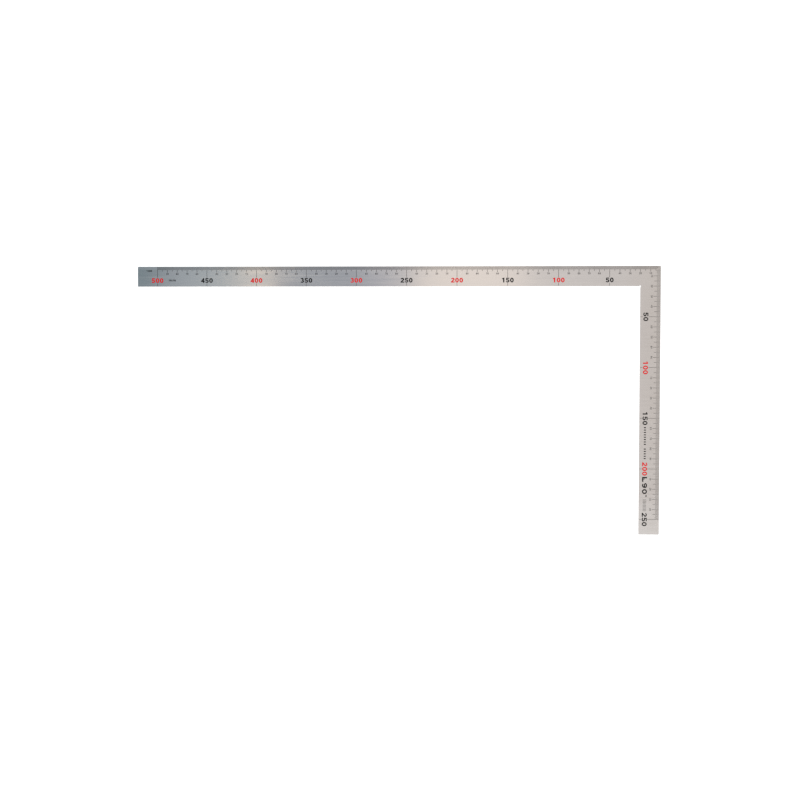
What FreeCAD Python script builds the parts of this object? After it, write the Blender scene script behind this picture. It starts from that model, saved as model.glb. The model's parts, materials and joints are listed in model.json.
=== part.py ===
"""Steel square ruler: an L-shaped stainless steel blade with etched, ink-filled metric scales.

The blade is one flat blank with a long and a short arm of the same width. The two scales on the front
count millimetres from the outer corner, along the outer edges. The two on the back count from the inner
corner, along the inner edges. Every line and numeral is a shallow pocket etched in the steel. Each kind
of mark on each arm is one run of ink: a group of separate thin solids that fill their pockets almost
to the surface.

Frame: millimetres, +Z up. The origin is the outer corner, on the face that the ruler lies on. The long
arm runs along -X, the short arm along -Y, and the front face looks up.
"""

import FreeCAD
import Part

import math
import os
from collections import namedtuple

V = FreeCAD.Vector

# The blade
BLADE_WIDTH = 20.0
LONG_LENGTH = 520.0
SHORT_LENGTH = 265.0
THICKNESS = 1.2
EDGE_ROUND = 0.2
CORNER_ROUND = 0.5
RELIEF_RADIUS = 0.8

# Etching and ink
ETCH_DEPTH = 0.10
INK_BELOW_STEEL = 0.02
EDGE_GAP = 0.35
LONG_LINE = 0.35
FIRST_LINE = 2
CORNER_GAP = 0.35
LINE_TO_NUMERAL = 0.45

# One size of sign: its height, width and upright stroke, and the gap to the next sign
Lettering = namedtuple("Lettering", "height width stroke gap")
FLAT_STROKE = 0.82
SMALL = Lettering(height=1.9, width=1.15, stroke=0.34, gap=0.28)
UNIT = Lettering(height=1.8, width=3.2, stroke=0.60, gap=0.60)
DIVISION = Lettering(height=1.8, width=1.7, stroke=0.40, gap=0.40)
THICK_BAR = Lettering(height=2.0, width=1.0, stroke=1.0, gap=1.35)
THIN_BAR = Lettering(height=3.3, width=0.40, stroke=0.40, gap=0.95)
EMBLEM = Lettering(height=4.9, width=4.8, stroke=1.30, gap=1.20)

# A scale: its zero, the way it runs, the way its lines grow from the edge, how its numerals are turned,
# how far it counts, the width of its 1 mm lines, the reach of its 1, 5 and 10 mm lines, and its two rows
# of numerals
Scale = namedtuple(
    "Scale", "name zero along inward across up length fine_line ones fives tens small_row large_row large")
TOP_CORNER = V(0, 0, THICKNESS)
INNER_CORNER = V(-BLADE_WIDTH, -BLADE_WIDTH, 0)
LONG_STYLE = {
    "fine_line": 0.35, "ones": 3.5, "fives": 4.9, "tens": 6.0, "small_row": 7.4, "large_row": 13.9,
    "large": Lettering(height=4.7, width=3.6, stroke=1.24, gap=0.55),
}
SHORT_STYLE = {
    "fine_line": 0.25, "ones": 4.0, "fives": 6.3, "tens": 7.2, "small_row": 8.75, "large_row": 14.4,
    "large": Lettering(height=4.9, width=4.0, stroke=1.20, gap=0.60),
}
FRONT_LONG = Scale(
    name="front_long", zero=TOP_CORNER, along=V(-1, 0, 0), inward=V(0, -1, 0),
    across=V(1, 0, 0), up=V(0, 1, 0), length=500, **LONG_STYLE)
FRONT_SHORT = Scale(
    name="front_short", zero=TOP_CORNER, along=V(0, -1, 0), inward=V(-1, 0, 0),
    across=V(0, -1, 0), up=V(1, 0, 0), length=250, **SHORT_STYLE)
BACK_LONG = Scale(
    name="back_long", zero=INNER_CORNER, along=V(-1, 0, 0), inward=V(0, 1, 0),
    across=V(-1, 0, 0), up=V(0, 1, 0), length=490, **LONG_STYLE)
BACK_SHORT = Scale(
    name="back_short", zero=INNER_CORNER, along=V(0, -1, 0), inward=V(1, 0, 0),
    across=V(0, -1, 0), up=V(-1, 0, 0), length=240, **SHORT_STYLE)

# Marks that occur once: how far along the scale each is centred
UNIT_AT = 485.0
DIVISION_AT = 508.5
DIVISION_ROW = 4.4
THICK_BARS_AT = 174.5
EMBLEM_AT = 217.8
THIN_BARS_AT = 236.0


# ---------------------------------------------------------------- strokes

def flat(wire):
    """The face inside a closed wire, looking up whichever way the wire runs."""
    face = Part.Face(wire)
    return face if face.normalAt(0, 0).z > 0 else face.reversed()


def bar(start, end, width):
    """A straight stroke with square ends."""
    a, b = V(*start, 0), V(*end, 0)
    along = (b - a).normalize()
    side = V(-along.y, along.x, 0) * (width / 2)
    return flat(Part.makePolygon([a + side, b + side, b - side, a - side, a + side]))


def oval_arc(centre, rx, ry, first, last):
    """Part of an upright ellipse or circle, between two angles in degrees, counterclockwise."""
    if rx > ry:
        return Part.Ellipse(centre, rx, ry).toShape(math.radians(first), math.radians(last))
    if rx == ry:
        return Part.Circle(centre, V(0, 0, 1), rx).toShape(math.radians(first), math.radians(last))
    tall = Part.Ellipse(centre + V(0, ry, 0), centre - V(rx, 0, 0), centre)
    return tall.toShape(math.radians(first - 90), math.radians(last - 90))


def bow(centre, rx, ry, stroke, first, last):
    """A curved stroke inside an ellipse, thinner where it runs flat, between two angles."""
    middle = V(*centre, 0)
    outside = oval_arc(middle, rx, ry, first, last)
    inside = oval_arc(middle, rx - stroke, ry - FLAT_STROKE * stroke, first, last)
    ends = [
        Part.LineSegment(outside.Vertexes[i].Point, inside.Vertexes[i].Point).toShape() for i in (0, 1)
    ]
    return flat(Part.Wire(Part.__sortEdges__([outside, ends[0], inside, ends[1]])))


def loop(centre, rx, ry, stroke):
    """A closed curved stroke."""
    return [bow(centre, rx, ry, stroke, -90, 90), bow(centre, rx, ry, stroke, 90, 270)]


# ---------------------------------------------------------------- signs, drawn up and right from 0, 0
# h and w are the sign's height and width, s its upright stroke and t its flat stroke

def digit_0(h, w, s, t):
    return loop((w / 2, h / 2), w / 2, h / 2, s)


def digit_1(h, w, s, t):
    stem = 0.58 * w
    return [
        bar((stem, 0), (stem, h), s),
        bar((stem, h - 0.35 * s), (stem - 0.42 * w, 0.74 * h), t),
    ]


def digit_2(h, w, s, t):
    """The diagonal runs on from the bowl's lower end, at 45 degrees round the bowl, in the same line."""
    bowl = 0.31 * h
    slant = math.sqrt(0.5)
    neck_x = w / 2 + slant * (0.48 * w - s / 2)
    neck_y = h - bowl - slant * (bowl - t / 2)
    lap = 0.1 * s
    return [
        bow((w / 2, h - bowl), 0.48 * w, bowl, s, -45, 170),
        bar((neck_x + lap, neck_y + lap), (0.38 * s, 0.44 * s), 0.9 * s),
        bar((0, t / 2), (w, t / 2), t),
    ]


def digit_3(h, w, s, t):
    upper, lower = 0.27 * h, 0.30 * h
    return [
        bow((0.48 * w, h - upper), 0.45 * w, upper, s, -90, 160),
        bow((0.48 * w, lower), 0.52 * w, lower, s, -160, 90),
    ]


def digit_4(h, w, s, t):
    stem, rail = 0.72 * w, 0.30 * h
    return [
        bar((stem, 0), (stem, h), s),
        bar((0, rail), (w, rail), t),
        bar((0.34 * s, rail), (stem, h - 0.35 * s), t),
    ]


def digit_5(h, w, s, t):
    bowl = 0.325 * h
    stem = 0.12 * w + t / 2
    return [
        bar((0.12 * w, h - t / 2), (0.94 * w, h - t / 2), t),
        bar((stem, h - t / 2), (stem - 0.06 * w, 0.48 * h), t),
        bow((0.48 * w, bowl), 0.52 * w, bowl, s, -160, 142),
    ]


def digit_6(h, w, s, t):
    bowl = 0.31 * h
    hook = bow((w / 2, h / 2), w / 2, h / 2, s, 40, 205)
    return loop((w / 2, bowl), w / 2, bowl, s) + [hook]


def digit_7(h, w, s, t):
    return [
        bar((0, h - t / 2), (w, h - t / 2), t),
        bar((w - 0.6 * s, h - t / 2), (0.36 * w, 0.18 * s), s),
    ]


def digit_8(h, w, s, t):
    upper, lower = 0.27 * h, 0.295 * h
    return loop((w / 2, h - upper), 0.44 * w, upper, s) + loop((w / 2, lower), w / 2, lower, s)


def digit_9(h, w, s, t):
    bowl = 0.31 * h
    hook = bow((w / 2, h / 2), w / 2, h / 2, s, -140, 25)
    return loop((w / 2, h - bowl), w / 2, bowl, s) + [hook]


def letter_m(h, w, s, t):
    arch = (w + s) / 4
    legs = [bar((x, 0), (x, h - arch), s) for x in (w / 2, w - s / 2)]
    arches = [bow((x, h - arch), arch, arch, s, 0, 180) for x in (arch, w - arch)]
    return [bar((s / 2, 0), (s / 2, h), s)] + legs + arches


def degree_sign(h, w, s, t):
    radius = 0.17 * h
    return loop((radius, h - radius), radius, radius, 0.42 * s)


def right_angle(h, w, s, t):
    """A corner with a small square drawn in it, the usual sign for a right angle."""
    tab = 0.45 * h
    thin = 0.3 * s
    return [
        bar((s / 2, 0), (s / 2, h), s),
        bar((0, s / 2), (w, s / 2), s),
        bar((0, tab), (tab + thin / 2, tab), thin),
        bar((tab, 0), (tab, tab), thin),
    ]


def upright_bar(h, w, s, t):
    return [bar((w / 2, 0), (w / 2, h), w)]


SIGNS = {
    "0": digit_0, "1": digit_1, "2": digit_2, "3": digit_3, "4": digit_4, "5": digit_5, "6": digit_6,
    "7": digit_7, "8": digit_8, "9": digit_9, "m": letter_m, "o": degree_sign, "L": right_angle,
    "|": upright_bar,
}


# ---------------------------------------------------------------- marks

Mark = namedtuple("Mark", "pocket ink")


def mark_for(face):
    """The cutter for one mark's pocket and the ink that fills it, drawn about the steel's surface."""
    floor = face.translated(V(0, 0, -ETCH_DEPTH))
    cutter = floor.extrude(V(0, 0, 2 * ETCH_DEPTH))
    ink = floor.extrude(V(0, 0, ETCH_DEPTH - INK_BELOW_STEEL))
    return Mark(cutter, ink)


def put(mark, scale, at, from_edge, shift=0.0):
    """A copy of a mark, upright for the scale's reader, a distance along it and in from its edge."""
    point = scale.zero + scale.along * at + scale.inward * from_edge + scale.across * shift
    turn = FreeCAD.Rotation(scale.across, scale.up, scale.across.cross(scale.up), "XYZ")
    copies = [solid.copy() for solid in mark]
    for solid in copies:
        solid.Placement = FreeCAD.Placement(point, turn)
    return Mark(*copies)


drawn_signs = {}


def sign_mark(sign, style):
    """The mark of one sign in one size, centred on its own height. Each is drawn only once."""
    if (sign, style) not in drawn_signs:
        strokes = SIGNS[sign](style.height, style.width, style.stroke, FLAT_STROKE * style.stroke)
        face = strokes[0]
        if len(strokes) > 1:
            face = face.multiFuse(strokes[1:]).removeSplitter()
        drawn_signs[sign, style] = mark_for(face.translated(V(0, -style.height / 2, 0)))
    return drawn_signs[sign, style]


def sign_width(sign, style):
    return 0.34 * style.height if sign == "o" else style.width


def text_marks(scale, at, from_edge, words, style):
    """A row of signs, centred on one place on the scale. A space leaves one sign out."""
    widths = [sign_width(sign, style) for sign in words]
    left = -(sum(widths) + style.gap * (len(words) - 1)) / 2
    marks = []
    for sign, width in zip(words, widths):
        if sign != " ":
            marks.append(put(sign_mark(sign, style), scale, at, from_edge, left))
        left += width + style.gap
    return marks


def line_mark(scale, at, start, end, width=LONG_LINE):
    """A graduation line across the scale, between two distances from its edge."""
    half = (end - start) / 2
    return put(mark_for(bar((0, -half), (0, half), width)), scale, at, start + half)


def line_runs(scale):
    """The lines at every 1, 5, 10 and 50 mm, each kind in its own run.

    At the outer corner, where two scales meet, the lines of each stop short of the diagonal between them.
    """
    half_numeral = scale.large.height / 2 + LINE_TO_NUMERAL
    runs = {"1mm_lines": [], "5mm_lines": [], "10mm_lines": [], "50mm_lines": []}
    for at in range(FIRST_LINE, scale.length + 1):
        limit = at - CORNER_GAP if scale.zero == TOP_CORNER else BLADE_WIDTH
        if at % 50 == 0:
            runs["50mm_lines"].append(line_mark(scale, at, EDGE_GAP, scale.large_row - half_numeral))
            foot = line_mark(scale, at, scale.large_row + half_numeral, BLADE_WIDTH - EDGE_GAP)
            runs["50mm_lines"].append(foot)
        elif at % 10 == 0:
            runs["10mm_lines"].append(line_mark(scale, at, EDGE_GAP, scale.tens))
        elif at % 5 == 0:
            runs["5mm_lines"].append(line_mark(scale, at, EDGE_GAP, min(scale.fives, limit)))
        else:
            reach = min(scale.ones, limit)
            runs["1mm_lines"].append(line_mark(scale, at, EDGE_GAP, reach, scale.fine_line))
    return runs


def numeral_runs(scale):
    """Small numerals at each 10 mm, and large ones: red at the hundreds, black at the fifties."""
    runs = {"small_numerals": [], "black_numerals": [], "red_numerals": []}
    for at in range(10, scale.length + 1, 10):
        if at % 50:
            runs["small_numerals"] += text_marks(scale, at, scale.small_row, str(at % 100), SMALL)
        else:
            colour = "black_numerals" if at % 100 else "red_numerals"
            runs[colour] += text_marks(scale, at, scale.large_row, str(at), scale.large)
    return runs


def single_runs():
    """The units, the right-angle emblem and the plain bars on the front."""
    long_row, short_row = FRONT_LONG.large_row, FRONT_SHORT.large_row
    return {
        "front_long_unit_mark": text_marks(FRONT_LONG, UNIT_AT, long_row, "mm", UNIT),
        "front_long_division_mark": text_marks(
            FRONT_LONG, DIVISION_AT, DIVISION_ROW, "1mm", DIVISION),
        "front_short_thick_bars": text_marks(
            FRONT_SHORT, THICK_BARS_AT, short_row, "|||||||| |||||", THICK_BAR),
        "front_short_emblem": text_marks(FRONT_SHORT, EMBLEM_AT, short_row, "L90o", EMBLEM),
        "front_short_thin_bars": text_marks(
            FRONT_SHORT, THIN_BARS_AT, short_row, "|||||||||", THIN_BAR),
    }


# ---------------------------------------------------------------- blade

def is_outer_corner(edge):
    """Whether an edge stands upright at one of the blank's five outer corners."""
    away = edge.CenterOfMass - INNER_CORNER
    return edge.BoundBox.ZLength > THICKNESS / 2 and math.hypot(away.x, away.y) > RELIEF_RADIUS


def is_rim(edge):
    """Whether an edge lies flat on the front or back face."""
    return edge.BoundBox.ZLength < THICKNESS / 2


def plain_blade():
    """The blank before etching: rounded corners, a relief notch in the inner corner, eased edges."""
    corners = [
        (0, 0), (-LONG_LENGTH, 0), (-LONG_LENGTH, -BLADE_WIDTH), (-BLADE_WIDTH, -BLADE_WIDTH),
        (-BLADE_WIDTH, -SHORT_LENGTH), (0, -SHORT_LENGTH), (0, 0),
    ]
    outline = flat(Part.makePolygon([V(x, y, 0) for x, y in corners]))
    blank = outline.extrude(V(0, 0, THICKNESS))
    blank = blank.makeFillet(CORNER_ROUND, [edge for edge in blank.Edges if is_outer_corner(edge)])
    blank = blank.cut(Part.makeCylinder(RELIEF_RADIUS, THICKNESS, INNER_CORNER))
    return blank.makeFillet(EDGE_ROUND, [edge for edge in blank.Edges if is_rim(edge)])


def write(name, solids):
    """One STEP file for one node."""
    shape = solids[0] if len(solids) == 1 else Part.makeCompound(solids)
    shape.exportStep(f"parts/{name}.step")


def main():
    os.makedirs("parts", exist_ok=True)
    runs = single_runs()
    for scale in (FRONT_LONG, FRONT_SHORT, BACK_LONG, BACK_SHORT):
        for kind, marks in (line_runs(scale) | numeral_runs(scale)).items():
            runs[f"{scale.name}_{kind}"] = marks
    pockets = [mark.pocket for marks in runs.values() for mark in marks]
    write("blade", plain_blade().cut(Part.makeCompound(pockets)).Solids)
    for name, marks in runs.items():
        write(name, [solid for mark in marks for solid in mark.ink.Solids])


main()
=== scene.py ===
"""Steel square ruler: finishes, floor, studio light and camera, built around the CAD model's frame."""
import bpy
import json
import math
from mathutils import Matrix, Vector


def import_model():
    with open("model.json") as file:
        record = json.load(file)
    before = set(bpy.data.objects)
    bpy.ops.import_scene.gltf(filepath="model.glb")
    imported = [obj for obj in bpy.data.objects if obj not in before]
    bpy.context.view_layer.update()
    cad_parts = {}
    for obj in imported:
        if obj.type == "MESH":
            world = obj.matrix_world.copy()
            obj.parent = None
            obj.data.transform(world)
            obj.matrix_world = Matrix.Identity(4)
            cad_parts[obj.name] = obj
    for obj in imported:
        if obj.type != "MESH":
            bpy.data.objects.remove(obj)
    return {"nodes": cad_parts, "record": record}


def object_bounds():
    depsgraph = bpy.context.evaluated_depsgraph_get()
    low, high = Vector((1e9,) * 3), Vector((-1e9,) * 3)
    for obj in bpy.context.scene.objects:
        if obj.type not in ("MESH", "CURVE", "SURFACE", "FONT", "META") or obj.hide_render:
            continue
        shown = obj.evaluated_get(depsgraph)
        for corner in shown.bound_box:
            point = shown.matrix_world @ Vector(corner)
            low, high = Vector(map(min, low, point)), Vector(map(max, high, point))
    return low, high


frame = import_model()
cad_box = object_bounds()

# Colours of bare steel where the grain catches more or less light, in linear light
STEEL_DARK = (0.585, 0.562, 0.545)
STEEL_LIGHT = (0.675, 0.650, 0.630)
STEEL_SMOOTH, STEEL_ROUGH = 0.16, 0.27
SMUDGE_ROUGH = 0.03
BRUSHED = 0.55
# How far grain, streaks and smudges each move the colour from dark, 0, to light, 1
GRAIN_TONES = (-0.10, 0.35)
STREAK_TONES = (0.05, 0.40)
SMUDGE_TONES = (0.0, 0.2)
# The sheared sides are duller: rougher, and darker in colour with painted shade that draws a dark
# outline round the blade
SIDE_SHADE_DARK = (0.26, 0.25, 0.245)
SIDE_SHADE_LIGHT = (0.42, 0.41, 0.40)
SIDE_ROUGHER = 0.22
# How level the surface is where the eased edges and the sheared sides begin and where they are full
EDGE_BEGINS = (0.985, 0.80)
SIDE_BEGINS = (0.70, 0.30)
# The eased edges are brighter, partly for their polish and partly as a painted highlight, and the
# scratches are brighter, each by its share of a colour
EDGE_POLISH_AND_HIGHLIGHT, EDGE_HIGHLIGHT_SHARE = (0.72, 0.71, 0.70), 0.6
EDGE_SMOOTHER = 0.06
SCRATCH_BRIGHT, SCRATCH_SHARE = (0.80, 0.79, 0.78), 0.5

# Noise cells to a metre along X, Y and Z, for each kind of variation in the steel and the ink
GRAIN = (45.0, 5200.0, 900.0)
STREAKS = (9.0, 620.0, 60.0)
SMUDGES = (26.0, 34.0, 20.0)
SCRATCH_PATCHES = (34.0, 34.0, 1.0)
INK_SPOTS = (1500.0, 1500.0, 1500.0)
INK_COVER = (180.0, 180.0, 180.0)
# Each set of scratches: its angle in degrees and its cells to a metre along the scratches
SCRATCH_SETS = ((24.0, 22.0), (-37.0, 16.0), (71.0, 30.0))
SCRATCH_FINENESS = 2600.0
# The spans of noise between which each kind goes from nothing to full
NOISE_SPAN = (0.3, 0.7)
SMUDGE_SPAN = (0.35, 0.65)
HAIR_SPAN = (0.71, 0.76)
PATCH_SPAN = (0.50, 0.66)
SPOT_SPAN = (0.45, 0.75)
COVER_SPAN = (0.40, 0.65)
# How much of the thin spots shows where the cover is even and where it is patchy
COVER_SHARE = (0.3, 1.0)

# Heights of the grain and of the ink's spots, in metres, and how strongly each shows
GRAIN_HEIGHT, GRAIN_STRENGTH = 0.000008, 0.25
SPOT_HEIGHT, SPOT_STRENGTH = 0.00001, 0.3

# Each ink: its name, full colour, colour where it is thin, and roughness
INKS = {
    "black_ink": ("black_ink_fill", (0.004, 0.004, 0.005), (0.03, 0.03, 0.032), 0.55),
    "grey_ink": ("grey_ink_fill", (0.09, 0.088, 0.086), (0.15, 0.148, 0.145), 0.55),
    "red_ink": ("red_ink_fill", (0.88, 0.012, 0.016), (0.88, 0.06, 0.05), 0.5),
}
INK_GLOSS = 0.12
INK_UNEVEN = 0.1

# Camera: almost straight above, leaning a little, in metres and degrees
CAMERA_PLACE = (-0.1943, -0.0972, 1.2)
CAMERA_LEAN = (-1.693, 2.962, 0.124)
CAMERA_LENS = 54.29
SENSOR = 36.0

FLOOR_HALF = 12.0
FLOOR_GAP = 0.0002
FLOOR_WHITE = (0.9, 0.9, 0.9)
FLOOR_GLOW = 0.7
FLOOR_ROUGH = 0.9
# The studio's colours, and the heights in the sky, from 0 to 1, between which each turns into the next
HORIZON = (1.0, 1.0, 1.0)
WALL_LOW = (0.50, 0.52, 0.55)
WALL_HIGH = (0.78, 0.79, 0.80)
CEILING = (0.265, 0.350, 0.400)
HORIZON_TO_WALL = (0.04, 0.20)
WALL_LOW_TO_HIGH = (0.25, 0.60)
WALL_TO_CEILING = (0.60, 0.85)

# Soft boxes that hang over the ruler: name, place along X and Y, width and depth in metres, radiance
# and colour. Each hangs a step above the last, because two lamps at one height would hide each other.
BOX_HEIGHT = 0.45
BOX_STEP = 0.01
WARM = (1.0, 0.82, 0.64)
GOLD = (1.0, 0.80, 0.56)
MAUVE = (1.0, 0.82, 0.88)
ROSE = (1.0, 0.64, 0.56)
AQUA = (0.5, 1.0, 0.9)
COOL = (0.82, 0.93, 1.0)
SOFT_BOXES = (
    ("fill_box", -0.28, -0.10, 0.66, 0.90, 0.23, MAUVE),
    ("side_box", 0.20, -0.10, 0.30, 0.90, 0.17, ROSE),
    ("left_box", -0.54, -0.10, 0.09, 0.90, 0.07, AQUA),
    ("strip_box", -0.481, -0.10, 0.045, 0.90, 0.68, GOLD),
    ("step_box", -0.305, -0.10, 0.06, 0.90, 0.12, MAUVE),
    ("wide_box", 0.036, -0.10, 0.623, 0.90, 0.40, WARM),
    ("key_box", -0.1825, -0.10, 0.155, 0.90, 0.30, WARM),
    ("end_box", 0.08, -0.455, 0.36, 0.22, 0.50, COOL),
)


# ---------------------------------------------------------------- shader nodes

def new_material(name):
    material = bpy.data.materials.new(name)
    material.use_nodes = True
    tree = material.node_tree
    return material, tree, tree.nodes["Principled BSDF"]


def join(tree, value, socket):
    """Puts a number, a colour or another node's output into a socket."""
    if isinstance(value, bpy.types.NodeSocket):
        tree.links.new(value, socket)
    else:
        socket.default_value = value


def noise(tree, scale, turn=0.0, detail=3.0):
    """Noise from 0 to 1 over the object, with so many cells to a metre along X, Y and Z."""
    place = tree.nodes.new("ShaderNodeTexCoord")
    turned = tree.nodes.new("ShaderNodeMapping")
    stretched = tree.nodes.new("ShaderNodeMapping")
    cells = tree.nodes.new("ShaderNodeTexNoise")
    turned.inputs["Rotation"].default_value = (0.0, 0.0, math.radians(turn))
    stretched.inputs["Scale"].default_value = scale
    cells.inputs["Scale"].default_value = 1.0
    cells.inputs["Detail"].default_value = detail
    tree.links.new(place.outputs["Object"], turned.inputs["Vector"])
    tree.links.new(turned.outputs["Vector"], stretched.inputs["Vector"])
    tree.links.new(stretched.outputs["Vector"], cells.inputs["Vector"])
    return cells.outputs["Fac"]


def remap(tree, value, from_range, to_range=(0.0, 1.0)):
    """Stretches one range of a value over another, and holds it there."""
    node = tree.nodes.new("ShaderNodeMapRange")
    join(tree, value, node.inputs["Value"])
    for name, number in zip(("From Min", "From Max", "To Min", "To Max"), (*from_range, *to_range)):
        node.inputs[name].default_value = number
    return node.outputs["Result"]


def calculate(tree, operation, first, second):
    node = tree.nodes.new("ShaderNodeMath")
    node.operation = operation
    join(tree, first, node.inputs[0])
    join(tree, second, node.inputs[1])
    return node.outputs[0]


def mix(tree, amount, first, second):
    """A colour between two others."""
    node = tree.nodes.new("ShaderNodeMixRGB")
    join(tree, amount, node.inputs["Fac"])
    for value, socket in ((first, node.inputs["Color1"]), (second, node.inputs["Color2"])):
        join(tree, (*value, 1.0) if isinstance(value, tuple) else value, socket)
    return node.outputs["Color"]


def flatness(tree):
    """1 on the front and back faces, 0 on the upright sides, and in between on the eased edges."""
    shape = tree.nodes.new("ShaderNodeNewGeometry")
    split = tree.nodes.new("ShaderNodeSeparateXYZ")
    tree.links.new(shape.outputs["True Normal"], split.inputs[0])
    return calculate(tree, "ABSOLUTE", split.outputs["Z"], 0.0)


# ---------------------------------------------------------------- finishes

def scratches(tree):
    """A few hair-thin scratches at odd angles, from 0 to 1. Each set shows only in patches."""
    total = 0.0
    for turn, cells_along in SCRATCH_SETS:
        hair = noise(tree, (cells_along, SCRATCH_FINENESS, 1.0), turn, detail=1.0)
        patch = noise(tree, SCRATCH_PATCHES, turn * 2.0, detail=1.0)
        marks = calculate(tree, "MULTIPLY", remap(tree, hair, HAIR_SPAN), remap(tree, patch, PATCH_SPAN))
        total = calculate(tree, "MAXIMUM", total, marks)
    return total


def bumps(tree, heights, strength, distance, shader):
    """Small ridges in the surface, from a height of 0 to 1 that stands for a distance in metres."""
    bump = tree.nodes.new("ShaderNodeBump")
    bump.inputs["Strength"].default_value = strength
    bump.inputs["Distance"].default_value = distance
    join(tree, heights, bump.inputs["Height"])
    join(tree, bump.outputs["Normal"], shader.inputs["Normal"])


def steel():
    """Satin stainless steel, ground along the long arm before the blank was cut."""
    material, tree, shader = new_material("satin_steel")
    grain = noise(tree, GRAIN, detail=2.0)
    streaks = noise(tree, STREAKS, detail=4.0)
    smudges = noise(tree, SMUDGES, detail=4.0)
    scratched = scratches(tree)
    flat = flatness(tree)
    eased = remap(tree, flat, EDGE_BEGINS)
    side = remap(tree, flat, SIDE_BEGINS)

    tone = calculate(tree, "ADD", remap(tree, grain, NOISE_SPAN, GRAIN_TONES),
                     remap(tree, streaks, NOISE_SPAN, STREAK_TONES))
    tone = calculate(tree, "ADD", tone, remap(tree, smudges, SMUDGE_SPAN, SMUDGE_TONES))
    colour = mix(tree, tone, STEEL_DARK, STEEL_LIGHT)
    colour = mix(tree, calculate(tree, "MULTIPLY", scratched, SCRATCH_SHARE), colour, SCRATCH_BRIGHT)
    # Eased edges: their polish plus a painted highlight, the colour lightened where the rounded rim
    # would catch light
    colour = mix(tree, calculate(tree, "MULTIPLY", eased, EDGE_HIGHLIGHT_SHARE), colour, EDGE_POLISH_AND_HIGHLIGHT)
    # Sheared sides: painted shade, their colour darkened to draw a dark outline round the blade
    colour = mix(tree, side, colour, mix(tree, streaks, SIDE_SHADE_DARK, SIDE_SHADE_LIGHT))
    join(tree, colour, shader.inputs["Base Color"])

    rough = calculate(tree, "ADD", remap(tree, streaks, NOISE_SPAN, (STEEL_SMOOTH, STEEL_ROUGH)),
                      remap(tree, smudges, SMUDGE_SPAN, (-SMUDGE_ROUGH, SMUDGE_ROUGH)))
    rough = calculate(tree, "SUBTRACT", rough, calculate(tree, "MULTIPLY", eased, EDGE_SMOOTHER))
    rough = calculate(tree, "ADD", rough, calculate(tree, "MULTIPLY", side, SIDE_ROUGHER))
    join(tree, rough, shader.inputs["Roughness"])

    bumps(tree, calculate(tree, "SUBTRACT", grain, scratched), GRAIN_STRENGTH, GRAIN_HEIGHT, shader)

    across_grain = tree.nodes.new("ShaderNodeCombineXYZ")
    across_grain.inputs["Y"].default_value = 1.0
    join(tree, across_grain.outputs[0], shader.inputs["Tangent"])
    shader.inputs["Metallic"].default_value = 1.0
    shader.inputs["Anisotropic"].default_value = BRUSHED
    return material


def ink(name, colour, thin_colour, rough):
    """Baked ink: even from afar, a little thinner and rougher in spots close up."""
    material, tree, shader = new_material(name)
    spots = noise(tree, INK_SPOTS, detail=3.0)
    cover = noise(tree, INK_COVER, detail=2.0)
    thin = calculate(tree, "MULTIPLY", remap(tree, spots, SPOT_SPAN),
                     remap(tree, cover, COVER_SPAN, COVER_SHARE))
    join(tree, mix(tree, thin, colour, thin_colour), shader.inputs["Base Color"])
    rough_range = (rough - INK_UNEVEN, rough + INK_UNEVEN)
    join(tree, remap(tree, spots, NOISE_SPAN, rough_range), shader.inputs["Roughness"])
    bumps(tree, spots, SPOT_STRENGTH, SPOT_HEIGHT, shader)
    shader.inputs["Specular IOR Level"].default_value = INK_GLOSS
    return material


def dress(nodes):
    """Gives every CAD node the finish of its material slot."""
    finishes = {"steel": steel()}
    finishes.update({slot: ink(*look) for slot, look in INKS.items()})
    slots = {row["node"]: row["material_slot"] for row in frame["record"]["subparts"]}
    for name, piece in nodes.items():
        for holder in piece.material_slots:
            holder.material = finishes[slots[name]]


# ---------------------------------------------------------------- studio

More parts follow.
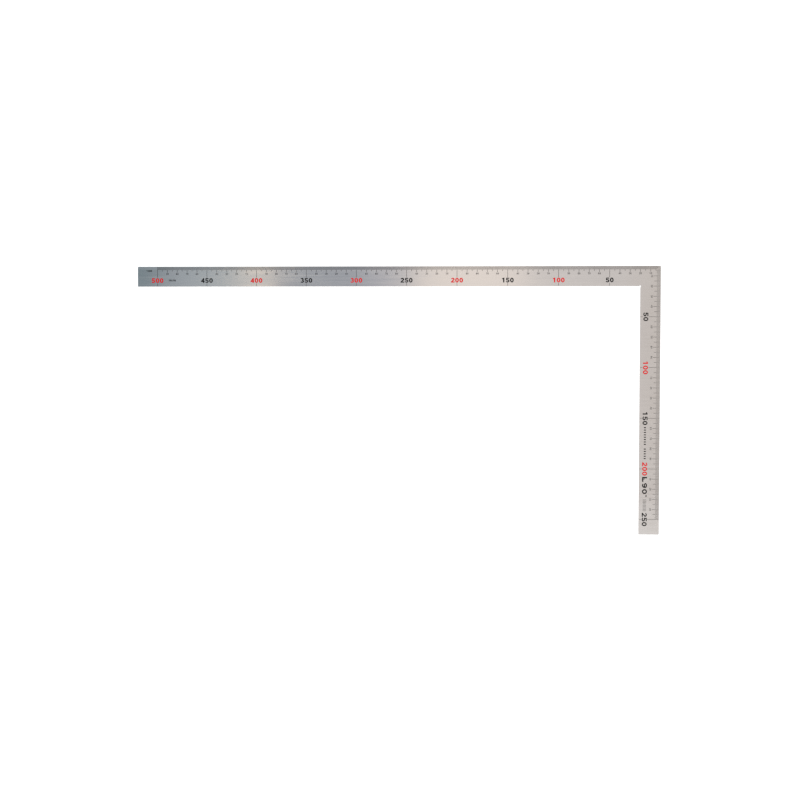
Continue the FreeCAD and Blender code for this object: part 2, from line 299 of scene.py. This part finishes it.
def floor():
    """A plain white sheet that glows a little, so that the thin ruler throws no hard shadow."""
    level = cad_box[0][2] - FLOOR_GAP
    corners = [(x * FLOOR_HALF, y * FLOOR_HALF, level) for x, y in ((-1, -1), (1, -1), (1, 1), (-1, 1))]
    mesh = bpy.data.meshes.new("floor")
    mesh.from_pydata(corners, [], [(0, 1, 2, 3)])
    sheet = bpy.data.objects.new("floor", mesh)
    bpy.context.scene.collection.objects.link(sheet)
    material, _, shader = new_material("white_sheet")
    shader.inputs["Base Color"].default_value = (*FLOOR_WHITE, 1.0)
    shader.inputs["Roughness"].default_value = FLOOR_ROUGH
    shader.inputs["Specular IOR Level"].default_value = 0.0
    shader.inputs["Emission Color"].default_value = (1.0, 1.0, 1.0, 1.0)
    shader.inputs["Emission Strength"].default_value = FLOOR_GLOW
    mesh.materials.append(material)


def world():
    """A studio as a reflection sees it: white at the horizon, grey walls, a dimmer, cooler ceiling."""
    studio = bpy.data.worlds.new("studio")
    studio.use_nodes = True
    bpy.context.scene.world = studio
    tree = studio.node_tree
    place = tree.nodes.new("ShaderNodeTexCoord")
    height = tree.nodes.new("ShaderNodeSeparateXYZ")
    tree.links.new(place.outputs["Generated"], height.inputs[0])
    up = height.outputs["Z"]
    walls = mix(tree, remap(tree, up, WALL_LOW_TO_HIGH), WALL_LOW, WALL_HIGH)
    colour = mix(tree, remap(tree, up, HORIZON_TO_WALL), HORIZON, walls)
    colour = mix(tree, remap(tree, up, WALL_TO_CEILING), colour, CEILING)
    join(tree, colour, tree.nodes["Background"].inputs["Color"])


def soft_box(name, x, y, height, width, depth, radiance, colour):
    """A flat lamp that faces down and is as bright as its radiance, whatever its size."""
    light = bpy.data.lights.new(name, "AREA")
    light.shape = "RECTANGLE"
    light.size = width
    light.size_y = depth
    light.color = colour
    light.energy = radiance * math.pi * width * depth
    lamp = bpy.data.objects.new(name, light)
    lamp.location = (x, y, height)
    lamp.visible_camera = False
    bpy.context.scene.collection.objects.link(lamp)


def camera():
    lens = bpy.data.cameras.new("camera")
    lens.lens = CAMERA_LENS
    lens.sensor_width = SENSOR
    eye = bpy.data.objects.new("camera", lens)
    eye.location = CAMERA_PLACE
    eye.rotation_euler = [math.radians(angle) for angle in CAMERA_LEAN]
    bpy.context.scene.collection.objects.link(eye)
    bpy.context.scene.camera = eye


dress(frame["nodes"])
floor()
world()
for step, (name, x, y, *rest) in enumerate(SOFT_BOXES):
    soft_box(name, x, y, BOX_HEIGHT + step * BOX_STEP, *rest)
camera()
bpy.context.scene.view_settings.view_transform = "Standard"
